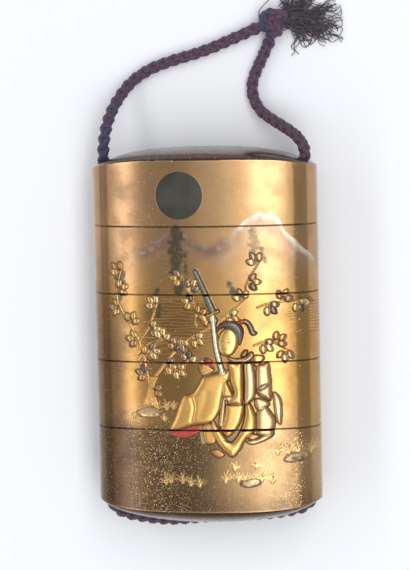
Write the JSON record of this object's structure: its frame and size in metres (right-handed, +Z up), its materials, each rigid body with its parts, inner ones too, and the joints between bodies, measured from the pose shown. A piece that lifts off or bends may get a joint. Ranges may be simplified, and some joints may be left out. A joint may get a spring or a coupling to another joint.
{
  "type": "inro case",
  "caption": "Flat oval lacquer case of stacked compartments under a lift-off lid, threaded on a knotted silk cord.",
  "frame": {"origin": "on the surface that the case lies on, below the middle of the lacquer case", "axes": "+Y along the case towards the lid, +X to the right of the picture, +Z up out of the decorated front"},
  "size_m": [0.0595, 0.1274, 0.0227],
  "materials": {
    "gold_lacquer": "lacquer over thin wood, sprinkled with gold dust and polished, with a picture in raised lacquer",
    "silk_cord": "faded purple braided silk"
  },
  "bodies": {
    "root": {"lid": "gold_lacquer", "case_1": "gold_lacquer", "case_2": "gold_lacquer", "case_3": "gold_lacquer", "case_4": "gold_lacquer", "cord_held": "silk_cord", "cord_left": "silk_cord", "cord_right": "silk_cord", "cord_knot": "silk_cord", "cord_frayed_ends": "silk_cord"}
  },
  "joints": []
}
